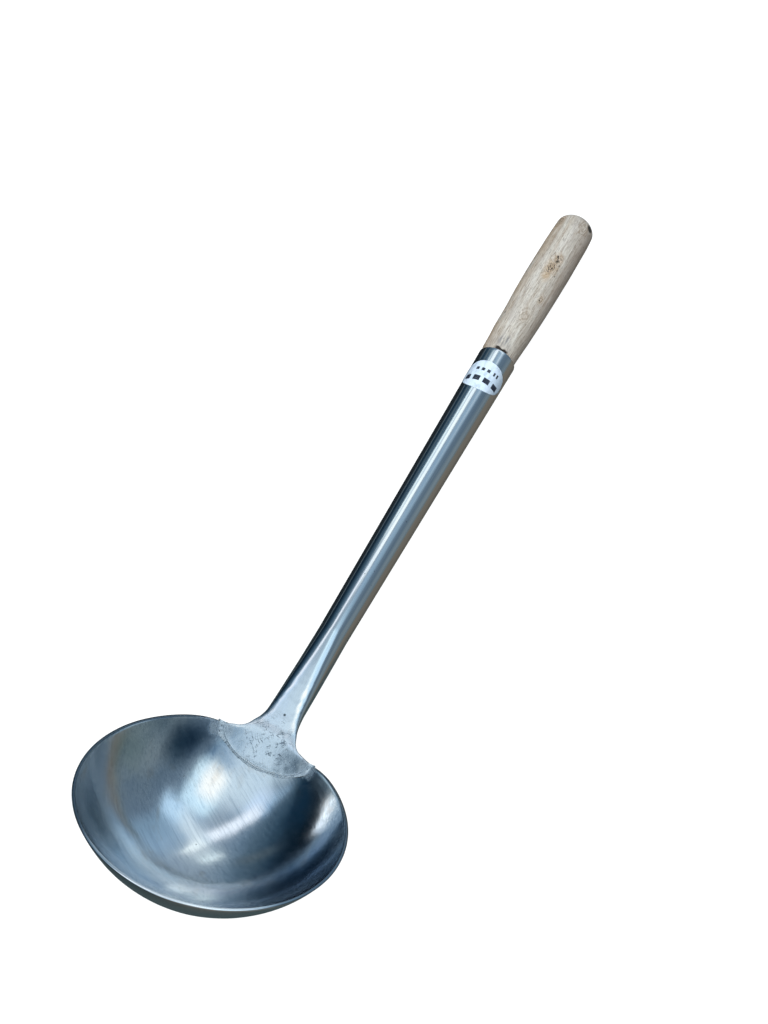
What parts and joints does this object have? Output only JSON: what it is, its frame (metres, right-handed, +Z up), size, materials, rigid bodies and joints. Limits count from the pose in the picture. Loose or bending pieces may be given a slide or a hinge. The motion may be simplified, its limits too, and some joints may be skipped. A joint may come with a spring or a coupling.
{
  "type": "wok ladle",
  "caption": "Round steel wok ladle: spherical bowl, welded conical tube handle with a flattened neck, and a wooden grip in its socket.",
  "frame": {"origin": "centre of the bounding box's base, on the surface that the ladle lies on", "axes": "+X along the level handle towards the grip's end, +Z up, out of the surface; the bowl's mouth faces up and towards -X"},
  "size_m": [0.485, 0.13, 0.077],
  "materials": {
    "bowl_steel": "satin, finely brushed",
    "shank_steel": "polished along its length",
    "weld_steel": "ground weld",
    "grip_wood": "bare, weathered",
    "label_film": "satin film"
  },
  "bodies": {
    "root": {"bowl": "bowl_steel", "shank": "shank_steel", "neck_weld": "weld_steel", "rim_weld": "weld_steel", "grip": "grip_wood", "size_label": "label_film"}
  },
  "joints": []
}
